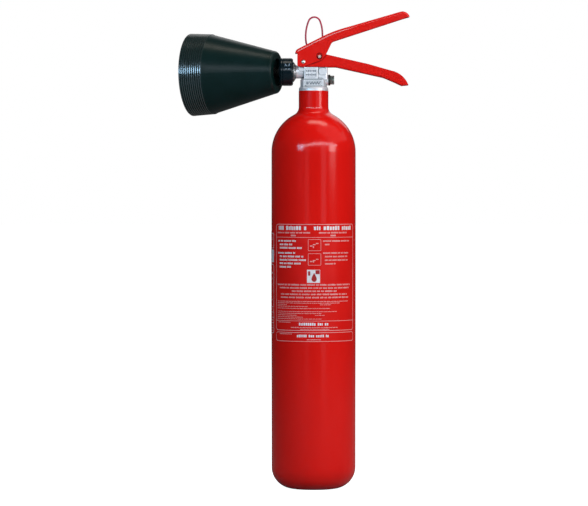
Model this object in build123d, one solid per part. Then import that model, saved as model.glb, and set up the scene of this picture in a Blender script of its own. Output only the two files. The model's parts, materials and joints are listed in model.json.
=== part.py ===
from build123d import *
import math
import os

# Fire extinguisher, 2 kg of carbon dioxide, with a squeeze-lever valve and a swivelling horn.
# Millimetres. The origin is the centre of the foot, +Z is up, +X points to the carrying handle,
# -X to the horn and +Y to the back. Side views are drawn in the XZ plane as (x, z).

# Cylinder
BODY_R = 51.0
WALL = 3.2
DOME_Z = 408.0
FOOT_R = 25.0
FOOT_IN_R = 19.5
DISH_DEPTH = 10.0
NECK_R = 18.0
NECK_TOP = 482.0
NECK_FILLET = 10.0
THREAD_R = 9.9
THREAD_GAP = 0.05

# Labels, thin film on the cylinder
FILM_IN_R = BODY_R + 0.01
FILM_OUT_R = BODY_R + 0.08
FRONT_LABEL_W = 93.4
FRONT_LABEL_Z = (179.0, 323.2)
SIDE_LABEL_W = 70.8
SIDE_LABEL_Z = (187.0, 312.0)
SIDE_LABEL_TURN = -112.0
LABEL_CORNER = 5.0

# Valve body
FLANGE_R = 17.75
FLANGE_TOP = 484.6
BARREL_R = 16.0
BARREL_Z = 487.0
GROOVE_Z = 495.4
BLOCK_Z = 496.8
BLOCK_TOP = 510.3
BLOCK_HALF_Y = 10.4
BLOCK_LEFT = -11.8
BLOCK_STEP = 5.3
BLOCK_RIGHT = 17.0
SHANK_BOTTOM = 450.0
CHAMBER_R = 6.6
SEAT_Z = 492.0
SEAT_R = 5.5
SEAT_H = 3.0
GLAND_Z = SEAT_Z + 10.0
GLAND_R = 6.0
PASSAGE_Z = 499.2

# Outlet and swivel
OUTLET_Z = 504.8
OUTLET_R = 7.9
OUTLET_BORE = 4.0
BOSS_END = -21.0
COLLAR_RIGHT = -24.8
COLLAR_LEFT = -41.2
COLLAR_R = 16.8
SPIGOT_R = 5.2
COLLAR_THREAD_R = 11.0
BALL_X = -35.0
BALL_R = 8.0
LINER_IN_R = 8.3
LINER_OUT_R = 9.2
SOCKET_R = 9.5
LIP_ANGLE = 50.0
TAIL_R = 3.6
TAIL_BORE = 2.0

# Horn: distances run along its own axis from the ball's centre
HORN_YAW = 18.0
HORN_DROP = 1.2
HORN_REAR = 9.0
HORN_FLOOR = 13.2
HORN_FLOOR_WALL = 3.6
TAIL_END = HORN_FLOOR + 9.5
HORN_WALL = 2.4
HORN_REAR_R = 26.1
HORN_SHOULDER = 4.0
HORN_RECESS_R = 16.8
HORN_BAND = 90.4
HORN_BAND_R = 48.7
HORN_MOUTH = 119.0
HORN_MOUTH_R = 50.3
BALL_CENTRE = (BALL_X, 0, OUTLET_Z)
HORN_AXIS = Vector(
    -math.cos(math.radians(HORN_YAW)) * math.cos(math.radians(HORN_DROP)),
    math.sin(math.radians(HORN_YAW)) * math.cos(math.radians(HORN_DROP)),
    -math.sin(math.radians(HORN_DROP)),
)

# Squeeze lever and carrying handle
SHEET = 2.0
LEVER_HALF = 13.4
HANDLE_HALF = 11.0
PIVOT = (-12.5, 516.7)
RIVET_R = 1.9
RIVET_WASHER_R = 4.2
RIVET_WASHER_H = 0.8
PIN_HOLE = (7.2, 523.0)
PIN_R = 1.8
PIN_TIP_R = 1.3
LEVER_HOLE_R = 3.4
LEVER_HOLE_RISE = 1.3
LEVER_BEND_R = 2.6
HANDLE_BEND_R = 2.2
LUG_HALF = 8.9

# Stem, gland and spring
STEM_R = 3.0
STEM_TOP = 539.0
STEM_HEAD_R = 5.2
GLAND_BORE = STEM_R + 0.06
GLAND_TOP = 526.0
HEX_FLATS = 14.0
CAP_TOP = 458.0
WIRE_R = 0.6
SPRING_R = 4.9

# Burst-disc port
BURST_Z = 495.0
BURST_FACE = 18.0
BURST_WASHER_H = 2.2
BURST_WASHER_R = 6.6
BURST_R = 4.0
BURST_FLOOR = 11.0
PLUG_FLATS = 10.6

# Pull ring
RING_WIRE_R = 1.05
EYE_Y = 17.5
EYE_R = 2.6


def turned(*edges):
    """A solid of revolution about Z from a closed loop of (radius, height) edges."""
    return revolve(Plane.XZ * make_face(list(edges)), axis=Axis.Z)


def turned_outline(*points):
    """A solid of revolution about Z from straight runs between (radius, height) points."""
    return revolve(Plane.XZ * make_face(Polyline(*points, close=True)), axis=Axis.Z)


def rod(radius, start, along, length):
    """A round bar from a start point, along a direction."""
    plane = Plane(origin=start, z_dir=along)
    return plane * Cylinder(radius, length, align=(Align.CENTER, Align.CENTER, Align.MIN))


def cone(radius, end_radius, start, along, length):
    """A tapered round bar from a start point, along a direction."""
    plane = Plane(origin=start, z_dir=along)
    return plane * Cone(radius, end_radius, length, align=(Align.CENTER, Align.CENTER, Align.MIN))


def block(x, y, z):
    """A box between the given pairs of limits."""
    low = (x[0], y[0], z[0])
    size = (x[1] - x[0], y[1] - y[0], z[1] - z[0])
    return Pos(*low) * Box(*size, align=(Align.MIN, Align.MIN, Align.MIN))


def cross_hole(radius, centre):
    """A round cutter through both side plates, centred on an (x, z) point."""
    return rod(radius, (centre[0], -30, centre[1]), (0, 1, 0), 60)


def ring(major, minor, centre, along):
    """A round-section seal ring."""
    return Plane(origin=centre, z_dir=along) * Torus(major, minor)


def on_angle(centre, radius, angle):
    """The point at an angle on a circle in the drawing plane."""
    turn = math.radians(angle)
    return (centre[0] + radius * math.cos(turn), centre[1] + radius * math.sin(turn))


# ---------------------------------------------------------------- cylinder and labels


def cylinder_shell():
    knuckle = BODY_R - FOOT_R
    dish_r = (FOOT_IN_R**2 + DISH_DEPTH**2) / (2 * DISH_DEPTH)
    dish_angle = math.degrees(math.asin(FOOT_IN_R / dish_r))
    dish = CenterArc((0, DISH_DEPTH - dish_r), dish_r, 90, -dish_angle)
    foot_corner = CenterArc((FOOT_R, knuckle), knuckle, 270, 90)
    reach = NECK_R + NECK_FILLET
    fillet_z = DOME_Z + math.sqrt((BODY_R + NECK_FILLET) ** 2 - reach**2)
    slope = math.degrees(math.atan2(fillet_z - DOME_Z, reach))
    dome = CenterArc((0, DOME_Z), BODY_R, 0, slope)
    neck_fillet = CenterArc((reach, fillet_z), NECK_FILLET, 180 + slope, -slope)

    bore = THREAD_R + THREAD_GAP
    inner_r = BODY_R - WALL
    inner_slope = math.degrees(math.acos(bore / inner_r))
    inner_dome = CenterArc((0, DOME_Z), inner_r, inner_slope, -inner_slope)
    inner_corner = CenterArc((FOOT_R, knuckle), knuckle - WALL, 0, -90)
    rise = DISH_DEPTH + 1.0
    crown_r = (FOOT_R**2 + rise**2) / (2 * rise)
    crown_angle = math.degrees(math.asin(FOOT_R / crown_r))
    crown = CenterArc((0, WALL + rise - crown_r), crown_r, 90 - crown_angle, crown_angle)
    seal_r, seal_depth, edge = 13.0, 2.4, 0.6
    return turned(
        dish,
        Line(dish @ 1, foot_corner @ 0),
        foot_corner,
        Line(foot_corner @ 1, dome @ 0),
        dome,
        neck_fillet,
        Line(neck_fillet @ 1, (NECK_R, NECK_TOP - edge)),
        Line((NECK_R, NECK_TOP - edge), (NECK_R - edge, NECK_TOP)),
        Line((NECK_R - edge, NECK_TOP), (seal_r, NECK_TOP)),
        Line((seal_r, NECK_TOP), (seal_r, NECK_TOP - seal_depth)),
        Line((seal_r, NECK_TOP - seal_depth), (bore, NECK_TOP - seal_depth)),
        Line((bore, NECK_TOP - seal_depth), inner_dome @ 0),
        inner_dome,
        Line(inner_dome @ 1, inner_corner @ 0),
        inner_corner,
        Line(inner_corner @ 1, crown @ 0),
        crown,
        Line(crown @ 1, dish @ 0),
    )


def film_label(width, heights, turn):
    """A film sheet with rounded corners on the cylinder, its middle turned from the front."""
    low, high = heights
    film = turned_outline((FILM_IN_R, low), (FILM_OUT_R, low), (FILM_OUT_R, high), (FILM_IN_R, high))
    middle = Plane(origin=(0, 0, (low + high) / 2), x_dir=(1, 0, 0), z_dir=(0, -1, 0))
    window = extrude(middle * RectangleRounded(width, high - low, LABEL_CORNER), amount=BODY_R + 5)
    return Rot(0, 0, turn) * (film & window)


# ---------------------------------------------------------------- valve


def valve_body():
    stem = turned_outline(
        (0, SHANK_BOTTOM),
        (THREAD_R - 1, SHANK_BOTTOM),
        (THREAD_R, SHANK_BOTTOM + 1),
        (THREAD_R, NECK_TOP),
        (FLANGE_R, NECK_TOP),
        (FLANGE_R, FLANGE_TOP),
        (BARREL_R + 0.4, BARREL_Z),
        (0, BARREL_Z),
    )
    barrel = turned_outline(
        (0, BARREL_Z - 0.5),
        (BARREL_R, BARREL_Z - 0.5),
        (BARREL_R, GROOVE_Z),
        (BARREL_R - 1, GROOVE_Z),
        (BARREL_R - 1, BLOCK_Z),
        (0, BLOCK_Z),
    )
    barrel &= block((-20, 20), (-BLOCK_HALF_Y, BLOCK_HALF_Y), (BARREL_Z - 1, BLOCK_Z))
    left = block((BLOCK_LEFT, BLOCK_STEP), (-BLOCK_HALF_Y, BLOCK_HALF_Y), (GROOVE_Z, BLOCK_TOP))
    left = fillet(left.edges().filter_by(Axis.Z), 1.2)
    right_half = 8.6
    right = block((0, BLOCK_RIGHT), (-right_half, right_half), (GROOVE_Z, BLOCK_TOP))
    right = fillet(right.edges().filter_by(Axis.Z).sort_by(Axis.X)[-2:], 2.5)
    outlet = rod(OUTLET_R, (-10, 0, OUTLET_Z), (-1, 0, 0), -10 - BOSS_END)
    burst_boss = cone(7.4, 6.2, (8, 0, BURST_Z), (1, 0, 0), BURST_FACE - 8)
    body = stem + barrel + left + right + outlet + burst_boss
    body += pivot_lug()
    groove_depth, groove_h = 0.8, 1.0
    for side in (-1, 1):
        body += raised_marks(side)
        floor_y, face_y = side * (BLOCK_HALF_Y - groove_depth), side * (BLOCK_HALF_Y + 1)
        groove_y = (min(floor_y, face_y), max(floor_y, face_y))
        body -= block((-20, 20), groove_y, (GROOVE_Z, GROOVE_Z + groove_h))

    throat_r = SEAT_R - 0.9
    passage_r = 2.5
    pressure_hole_r = 1.2
    pressure_hole_z = SEAT_Z - 2.0
    body -= rod(CHAMBER_R, (0, 0, SHANK_BOTTOM - 1), (0, 0, 1), SEAT_Z - SHANK_BOTTOM + 1)
    body -= rod(SEAT_R, (0, 0, SEAT_Z - 1), (0, 0, 1), SEAT_H + 1)
    body -= rod(throat_r, (0, 0, SEAT_Z), (0, 0, 1), GLAND_Z - SEAT_Z + 1)
    body -= rod(GLAND_R, (0, 0, GLAND_Z), (0, 0, 1), BLOCK_TOP - GLAND_Z + 1)
    body -= rod(passage_r, (0, 0, PASSAGE_Z), (-1, 0, 0), 15)
    body -= rod(OUTLET_BORE, (BOSS_END + 8, 0, OUTLET_Z), (-1, 0, 0), 9)
    body -= rod(SPIGOT_R + 0.05, (BOSS_END + 6.5, 0, OUTLET_Z), (-1, 0, 0), 8)
    body -= rod(SPIGOT_R + 1.6, (BOSS_END + 1.6, 0, OUTLET_Z), (-1, 0, 0), 3)
    body -= rod(BURST_R, (BURST_FLOOR, 0, BURST_Z), (1, 0, 0), 12)
    body -= rod(pressure_hole_r, (4, 0, pressure_hole_z), (1, 0, 0), BURST_FLOOR + 1 - 4)
    body -= cross_hole(RIVET_R + 0.05, PIVOT)
    return body


def pivot_lug():
    """The forged lug between the side plates, which the rivet passes through."""
    x_left, x_right = -18.4, -8.2
    lug = block((x_left, x_right), (-LUG_HALF, LUG_HALF), (505.9, 521.3))
    left_edges = lug.edges().filter_by(Axis.Y).sort_by(Axis.X)[:2]
    return fillet(left_edges, 3.0)


def raised_marks(side):
    """Forged raised panels on one face of the block: a plate, a frame and a round-ended pad."""
    face = side * BLOCK_HALF_Y
    plate_face = Plane(origin=(-3.4, face, 503.4), x_dir=(1, 0, 0), z_dir=(0, side, 0))
    plate = extrude(plate_face * RectangleRounded(13.0, 9.6, 1.5), amount=0.7)
    frame_face = Plane(origin=(0, face, 491.2), x_dir=(1, 0, 0), z_dir=(0, side, 0))
    frame = RectangleRounded(20.0, 6.6, 1.6) - RectangleRounded(18.2, 4.8, 0.9)
    frame = extrude(frame_face * frame, amount=0.5)
    pad_face = Plane(origin=(11.2, side * 5.6, 505.3), x_dir=(1, 0, 0), z_dir=(0, side, 0))
    pad = extrude(pad_face * RectangleRounded(10.0, 8.0, 3.6), amount=4.0)
    return plate + frame + pad


def seat_ring():
    inner = 3.6
    return turned_outline(
        (inner, SEAT_Z + 0.6),
        (inner + 0.6, SEAT_Z),
        (SEAT_R - 0.02, SEAT_Z),
        (SEAT_R - 0.02, SEAT_Z + SEAT_H),
        (inner, SEAT_Z + SEAT_H),
    )


def spring_cap():
    """Hollow screw in the shank's foot, with a socket for the dip tube under it."""
    outer = CHAMBER_R - 0.05
    return turned_outline(
        (2.5, SHANK_BOTTOM + 5),
        (4.05, SHANK_BOTTOM + 5),
        (4.05, SHANK_BOTTOM),
        (outer, SHANK_BOTTOM),
        (outer, CAP_TOP),
        (2.5, CAP_TOP),
    )


def dip_tube():
    bottom = DISH_DEPTH + WALL + 5
    top = SHANK_BOTTOM + 4.9
    tube = turned_outline((3.0, bottom), (4.0, bottom), (4.0, top), (3.0, top))
    slant = Pos(0, 0, bottom - 4) * Rot(0, 35, 0) * Box(30, 30, 8)
    return tube - slant


def valve_spring():
    low = CAP_TOP + WIRE_R + 0.1
    high = SEAT_Z - 4.0 - WIRE_R - 0.1
    path = Helix(pitch=(high - low) / 7, height=high - low, radius=SPRING_R)
    coil = sweep(Plane(origin=path @ 0, z_dir=path % 0) * Circle(WIRE_R), path=path, is_frenet=True)
    return Pos(0, 0, low) * coil


def valve_stem():
    """Plunger: guide tail in the spring, head under the seat, shaft up to the lever."""
    head_low = SEAT_Z - 4.0
    head_high = SEAT_Z - 1.1
    crown = CenterArc((0, STEM_TOP - 5), 5.0, 90, -math.degrees(math.asin(STEM_R / 5.0)))
    return turned(
        Line((0, head_low - 20), (2.0, head_low - 20)),
        Line((2.0, head_low - 20), (2.0, head_low)),
        Line((2.0, head_low), (STEM_HEAD_R, head_low)),
        Line((STEM_HEAD_R, head_low), (STEM_HEAD_R, head_high)),
        Line((STEM_HEAD_R, head_high), (2.4, head_high)),
        Line((2.4, head_high), (2.4, GLAND_Z - 3)),
        Line((2.4, GLAND_Z - 3), (STEM_R, GLAND_Z - 2)),
        Line((STEM_R, GLAND_Z - 2), crown @ 1),
        crown,
        Line(crown @ 0, (0, head_low - 20)),
    )


def stem_seal():
    low = SEAT_Z - 1.1
    return turned_outline((2.45, low), (5.0, low), (5.0, SEAT_Z - 0.1), (2.45, SEAT_Z - 0.1))


def gland_nut(web_top):
    """Gland: threaded shank in the block, hexagon on the handle's web, round neck up the stem."""
    hex_top = web_top + 5.0
    shank = rod(GLAND_R - 0.05, (0, 0, GLAND_Z + 0.3), (0, 0, 1), web_top - GLAND_Z)
    hexagon = Pos(0, 0, web_top) * extrude(
        Rot(0, 0, 30) * RegularPolygon(HEX_FLATS / 2, 6, major_radius=False), amount=5.0
    )
    neck = turned_outline(
        (0, hex_top - 1),
        (5.2, hex_top - 1),
        (4.8, hex_top + 1),
        (4.8, GLAND_TOP - 0.8),
        (4.0, GLAND_TOP),
        (0, GLAND_TOP),
    )
    nut = shank + hexagon + neck
    nut -= rod(GLAND_BORE, (0, 0, GLAND_Z), (0, 0, 1), 30)
    nut -= rod(5.15, (0, 0, GLAND_Z), (0, 0, 1), 2.6)
    return nut


# ---------------------------------------------------------------- burst-disc port


def burst_plug():
    shank_x = BURST_FLOOR + 1.7
    seat_x = BURST_FACE + BURST_WASHER_H
    shank = rod(BURST_R - 0.05, (shank_x, 0, BURST_Z), (1, 0, 0), seat_x + 1.0 - shank_x)
    head_h = 4.8
    head_plane = Plane(origin=(seat_x, 0, BURST_Z), x_dir=(0, 1, 0), z_dir=(1, 0, 0))
    head = extrude(head_plane * RegularPolygon(PLUG_FLATS / 2, 6, major_radius=False), amount=head_h)
    bevel = cone(6.9, 5.3, (seat_x, 0, BURST_Z), (1, 0, 0), head_h)
    plug = shank + (head & bevel)
    vent_bore_r = 1.6
    plug -= rod(vent_bore_r, (BURST_FLOOR, 0, BURST_Z), (1, 0, 0), seat_x + 2.8 - BURST_FLOOR)
    vent_r = 0.9
    vent_x = seat_x + 2.4
    for angle in range(30, 180, 60):
        across = (0, math.cos(math.radians(angle)), math.sin(math.radians(angle)))
        start = Vector(vent_x, 0, BURST_Z) - Vector(*across) * 8
        plug -= rod(vent_r, start, across, 16)
    return plug


def burst_disc():
    return rod(BURST_R - 0.1, (BURST_FLOOR + 1.05, 0, BURST_Z), (1, 0, 0), 0.5)


def burst_washer():
    washer = rod(BURST_WASHER_R, (BURST_FACE, 0, BURST_Z), (1, 0, 0), BURST_WASHER_H)
    return washer - rod(BURST_R + 0.1, (BURST_FACE - 1, 0, BURST_Z), (1, 0, 0), 4)


# ---------------------------------------------------------------- outlet and swivel


def along_outlet(profile):
    """Places a body of revolution, drawn with its height along -X from x = 0, on the outlet axis."""
    return Plane(origin=(0, 0, OUTLET_Z), z_dir=(-1, 0, 0)) * profile


def outlet_nipple():
    """Threads into the valve and the collar, with a flared shoulder between them."""
    end = -BALL_X - 5.5
    return along_outlet(
        turned_outline(
            (2.6, -BOSS_END - 6.0),
            (SPIGOT_R, -BOSS_END - 6.0),
            (SPIGOT_R, -BOSS_END),
            (OUTLET_R, -BOSS_END),
            (OUTLET_R + 0.6, -BOSS_END + 0.6),
            (12.0, -COLLAR_RIGHT - 0.8),
            (12.0, -COLLAR_RIGHT),
            (COLLAR_THREAD_R - 0.05, -COLLAR_RIGHT),
            (COLLAR_THREAD_R - 0.05, end),
            (7.0, end),
            (7.0, end - 3.3),
            (2.6, end - 4.5),
        )
    )


def outlet_seal():
    return ring(SPIGOT_R + 0.8, 0.7, (BOSS_END + 0.8, 0, OUTLET_Z), (1, 0, 0))


def swivel_collar():
    """Round housing with the ball's socket, screwed on the nipple."""
    left, right = -COLLAR_LEFT, -COLLAR_RIGHT
    centre = -BALL_X
    bore = COLLAR_THREAD_R
    lip_x = centre + SOCKET_R * math.cos(math.radians(LIP_ANGLE))
    lip_r = SOCKET_R * math.sin(math.radians(LIP_ANGLE))
    socket = CenterArc((0, centre), SOCKET_R, 0, 90 - LIP_ANGLE)
    grip = 0.5
    return along_outlet(
        turned(
            Line((SOCKET_R, centre - 4.4), socket @ 0),
            socket,
            Line((lip_r, lip_x), (lip_r + 0.6, left)),
            Line((lip_r + 0.6, left), (COLLAR_R - 1.6, left)),
            Line((COLLAR_R - 1.6, left), (COLLAR_R, left - 1.6)),
            Line((COLLAR_R, left - 1.6), (COLLAR_R, left - 3.4)),
            Line((COLLAR_R, left - 3.4), (COLLAR_R - grip, left - 3.9)),
            Line((COLLAR_R - grip, left - 3.9), (COLLAR_R, left - 4.4)),
            Line((COLLAR_R, left - 4.4), (COLLAR_R, right + 2.6)),
            ThreePointArc((COLLAR_R, right + 2.6), (COLLAR_R - 0.8, right + 0.8), (COLLAR_R - 2.6, right)),
            Line((COLLAR_R - 2.6, right), (bore, right)),
            Line((bore, right), (bore, centre - 4.4)),
            Line((bore, centre - 4.4), (SOCKET_R, centre - 4.4)),
        )
    )


def ball_seat():
    """Ring between the nipple and the ball, hollowed to the ball's shape."""
    centre = -BALL_X
    low, high = centre - 5.4, centre - 2.6
    cup = BALL_R + 0.3
    seat = turned_outline((5.4, low), (9.3, low), (9.3, high), (5.4, high))
    return along_outlet(seat - Pos(0, 0, centre) * Sphere(cup))


def along_horn(profile):
    """Places a body of revolution, drawn from the ball's centre, on the horn's axis."""
    return Plane(origin=BALL_CENTRE, z_dir=HORN_AXIS) * profile


def swivel_liner():
    """Plastic ring round the ball, which turns with the horn from side to side."""
    flat_axis = Vector(HORN_AXIS.X, HORN_AXIS.Y, 0).normalized()
    inner = CenterArc((0, 0), LINER_IN_R, 10, 40)
    outer = CenterArc((0, 0), LINER_OUT_R, 50, -40)
    zone = turned(inner, Line(inner @ 1, outer @ 0), outer, Line(outer @ 1, inner @ 0))
    return Plane(origin=BALL_CENTRE, z_dir=flat_axis) * zone


def swivel_ball():
    """Hollow ball with a threaded tail through the horn's rear wall."""
    flange_r, flange_h = 6.2, 2.6
    ball = Sphere(BALL_R) + rod(TAIL_R, (0, 0, 0), (0, 0, 1), TAIL_END)
    ball += rod(flange_r, (0, 0, HORN_FLOOR - flange_h), (0, 0, 1), flange_h)
    ball -= rod(TAIL_BORE, (0, 0, -BALL_R), (0, 0, 1), BALL_R + TAIL_END + 1)
    ball -= cone(5.2, TAIL_BORE, (0, 0, -BALL_R), (0, 0, 1), 5)
    return along_horn(ball)


def horn_shell():
    rib_count = 11
    band_length = HORN_MOUTH - HORN_BAND
    pitch = band_length / rib_count
    groove = 0.45

    outer = [(HORN_REAR_R, HORN_REAR + HORN_SHOULDER), (HORN_BAND_R - 0.8, HORN_BAND - 0.4)]
    for rib in range(rib_count):
        start = HORN_BAND + rib * pitch
        radius = HORN_BAND_R + (HORN_MOUTH_R - HORN_BAND_R) * (rib + 0.5) / rib_count
        outer.append((radius - groove, start + 0.15 * pitch))
        outer.append((radius, start + 0.35 * pitch))
        outer.append((radius, start + 0.8 * pitch))
        outer.append((radius - groove, start + pitch))
    outer.append((HORN_MOUTH_R - 1.0, HORN_MOUTH))

    throat_r = HORN_REAR_R - 5.0
    rear_wall = HORN_FLOOR + HORN_FLOOR_WALL
    inner = [
        (HORN_MOUTH_R - HORN_WALL, HORN_MOUTH),
        (HORN_BAND_R - HORN_WALL, HORN_BAND),
        (throat_r, rear_wall + 4.0),
        (throat_r - 3.0, rear_wall),
        (TAIL_R + 0.05, rear_wall),
        (TAIL_R + 0.05, HORN_FLOOR),
        (HORN_RECESS_R, HORN_FLOOR),
        (HORN_RECESS_R, HORN_REAR),
        (HORN_REAR_R - HORN_SHOULDER, HORN_REAR),
    ]
    shoulder_mid = on_angle((HORN_REAR_R - HORN_SHOULDER, HORN_REAR + HORN_SHOULDER), HORN_SHOULDER, -45)
    shoulder = ThreePointArc(inner[-1], shoulder_mid, outer[0])
    return along_horn(turned(Polyline(*outer, *inner), shoulder))


def horn_nozzle():
    """Brass jet screwed on the ball's tail in the throat: it clamps the horn's rear wall."""
    low = HORN_FLOOR + HORN_FLOOR_WALL
    jet_r = 1.4
    nozzle = extrude(Pos(0, 0, low) * RegularPolygon(6.5, 6, major_radius=False), amount=4.0)
    nozzle += cone(5.8, 4.6, (0, 0, low + 4.0), (0, 0, 1), 9.0)
    nozzle -= rod(TAIL_R + 0.05, (0, 0, low - 1), (0, 0, 1), TAIL_END - low + 1)
    nozzle -= rod(jet_r, (0, 0, low), (0, 0, 1), 20)
    return along_horn(nozzle)


# ---------------------------------------------------------------- lever, handle and pin


def bend_edges(solid, half, curves):
    """The long edges of a folded channel that run along the given side-view curves."""
    middles = [curve @ 0.5 for curve in curves]
    found = []
    for edge in solid.edges():
        middle = edge.position_at(0.5)
        on_side = abs(abs(edge.position_at(0).Y) - half) < 0.01 and abs(abs(middle.Y) - half) < 0.01
        on_curve = min(math.hypot(middle.X - at.X, middle.Z - at.Y) for at in middles) < 0.2
        if on_side and on_curve:
            found.append(edge)
    return found


def corner_edges(solid, corner):
    """The edges that cross the width of a channel at an (x, z) corner."""
    found = []
    for edge in solid.edges().filter_by(Axis.Y):
        middle = edge.position_at(0.5)
        if math.hypot(middle.X - corner[0], middle.Z - corner[1]) < 0.05:
            found.append(edge)
    return found


def both_ways(face, half):
    """Extrudes a side view across the full width."""
    return extrude(Plane.XZ * face, amount=half, both=True)


def squeeze_lever():
    """Pressed channel, open below: web along the top, two side plates on the pivot."""
    nose_low = (-22.3, 527.0)
    nose_top = (-18.9, 532.5)
    rise_1 = math.radians(26.9)
    rise_2 = math.radians(16.2)
    knee = (22.4, 553.4)
    tip_start = (104.5, 577.2)
    tip_mid = (112.9, 575.7)
    tip_end = (116.0, 571.2)
    knee_r = 140.0
    trim = knee_r * math.tan((rise_1 - rise_2) / 2)
    knee_in = (knee[0] - trim * math.cos(rise_1), knee[1] - trim * math.sin(rise_1))
    knee_out = (knee[0] + trim * math.cos(rise_2), knee[1] + trim * math.sin(rise_2))
    knee_arc = TangentArc(knee_in, knee_out, tangent=(math.cos(rise_1), math.sin(rise_1)))
    nose = TangentArc(nose_top, nose_low, tangent=(-math.cos(rise_1), -math.sin(rise_1)))
    top = [
        nose,
        Line(nose_top, knee_in),
        knee_arc,
        Line(knee_out, tip_start),
        ThreePointArc(tip_start, tip_mid, tip_end),
    ]
    plates = Polyline(
        tip_end,
        (110.0, 569.6),
        (22.4, 541.1),
        (14.4, 524.6),
        (10.0, 519.2),
        (2.0, 516.1),
        (-9.2, 512.1),
        (-12.5, 510.8),
        (-18.4, 511.2),
        (-19.7, 512.6),
        (-19.7, 527.0),
        nose_low,
    )
    lever = both_ways(make_face([*top, *plates.edges()]), LEVER_HALF)

    web_edges = bend_edges(lever, LEVER_HALF, top)
    lever = fillet(web_edges, LEVER_BEND_R)
    lever = fillet(corner_edges(lever, (22.4, 541.1)), 5.0)
    lever = fillet(corner_edges(lever, (14.4, 524.6)), 4.0)
    lever = fillet(corner_edges(lever, (10.0, 519.2)), 4.0)

    inner_half = LEVER_HALF - SHEET
    shift_1 = Vector(math.sin(rise_1), -math.cos(rise_1)) * SHEET
    shift_2 = Vector(math.sin(rise_2), -math.cos(rise_2)) * SHEET
    under = Polyline(
        (-40.0, 490.0),
        (-40.0, 526.9),
        (nose_low[0] + 2.1, 526.9),
        (nose_top[0] + shift_1.X + 0.2, nose_top[1] + shift_1.Y),
        (knee_in[0] + shift_1.X, knee_in[1] + shift_1.Y),
        (knee[0] + shift_2.X, knee[1] + shift_2.Y - 0.7),
        (knee_out[0] + shift_2.X, knee_out[1] + shift_2.Y),
        (tip_start[0] + shift_2.X, tip_start[1] + shift_2.Y - 0.2),
        (tip_mid[0] - 1.6, tip_mid[1] - 2.0),
        (tip_end[0] - SHEET, tip_end[1] - 1.5),
        (tip_end[0] - SHEET, 490.0),
        close=True,
    )
    lever -= both_ways(make_face(under), inner_half)
    lever -= cross_hole(RIVET_R + 0.06, PIVOT)
    lever -= cross_hole(LEVER_HOLE_R, PIN_HOLE)
    lever -= cross_hole(LEVER_HOLE_R, (PIN_HOLE[0] - 0.3 * LEVER_HOLE_RISE, PIN_HOLE[1] + LEVER_HOLE_RISE))
    return lever


def carrying_handle():
    """Pressed channel, open above: its web lies on the valve and its plates flank the lug."""
    web_z = BLOCK_TOP
    fall = math.radians(-12.5)
    bend = (27.0, web_z)
    outline = Polyline(
        (-17.4, 512.6),
        (-16.0, web_z),
        bend,
        (84.0, web_z + (84.0 - 27.0) * math.tan(fall)),
    )
    web_end = outline @ 1
    tip = (114.6, 488.6)
    hook = ThreePointArc(web_end, (98.5, 491.6), (106.5, 487.8))
    nose = Line((106.5, 487.8), tip)
    crown = ThreePointArc(tip, (108.8, 498.0), (94.0, 506.2))
    upper = Polyline(
        (94.0, 506.2),
        (66.0, 514.2),
        (15.3, 525.8),
        (9.0, 527.6),
        (-6.0, 527.6),
        (-17.4, 522.4),
        (-17.4, 512.6),
    )
    side = make_face([*outline.edges(), hook, nose, crown, *upper.edges()])
    handle = both_ways(side, HANDLE_HALF)

    bottom = [*outline.edges()[1:], hook, nose]
    handle = fillet(bend_edges(handle, HANDLE_HALF, bottom), HANDLE_BEND_R)
    handle = fillet(corner_edges(handle, (-17.4, 522.4)), 3.0)

    inner_half = HANDLE_HALF - SHEET
    inside = Polyline(
        (-30.0, 500.0),
        (-8.1, 500.0),
        (-8.1, web_z + SHEET),
        (26.8, web_z + SHEET),
        (83.6, web_z + SHEET + (83.6 - 26.8) * math.tan(fall)),
        (91.0, 497.0),
        (98.5, 494.1),
        (106.2, 490.2),
        (111.6, 490.6),
        (125.0, 500.0),
        (125.0, 560.0),
        (-30.0, 560.0),
        close=True,
    )
    handle -= both_ways(make_face(inside), inner_half)
    handle -= rod(GLAND_R + 0.2, (0, 0, web_z - 5), (0, 0, 1), 20)
    handle -= cross_hole(RIVET_R + 0.05, PIVOT)
    handle -= cross_hole(PIN_R + 0.1, PIN_HOLE)
    return handle


def pivot_rivet():
    """Domed head in front, formed head behind a washer."""
    head_r, rim, crown = 2.3, 0.2, 1.0
    front = -LEVER_HALF - 0.05
    back = LEVER_HALF + 0.05 + RIVET_WASHER_H
    rise = crown - rim
    dome_r = (head_r**2 + rise**2) / (2 * rise)
    dome_angle = math.degrees(math.asin(head_r / dome_r))
    front_dome = CenterArc((0, front - crown + dome_r), dome_r, 270, dome_angle)
    back_dome = CenterArc((0, back + crown - dome_r), dome_r, 90 - dome_angle, dome_angle)
    profile = turned(
        front_dome,
        Line(front_dome @ 1, (head_r, front)),
        Line((head_r, front), (RIVET_R, front)),
        Line((RIVET_R, front), (RIVET_R, back)),
        Line((RIVET_R, back), (head_r, back)),
        Line((head_r, back), back_dome @ 0),
        back_dome,
        Line(back_dome @ 1, front_dome @ 0),
    )
    return Plane(origin=(PIVOT[0], 0, PIVOT[1]), z_dir=(0, 1, 0)) * profile


def rivet_washer():
    start = (PIVOT[0], LEVER_HALF + 0.05, PIVOT[1])
    washer = rod(RIVET_WASHER_R, start, (0, 1, 0), RIVET_WASHER_H)
    return washer - rod(RIVET_R + 0.05, start, (0, 1, 0), RIVET_WASHER_H)


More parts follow.
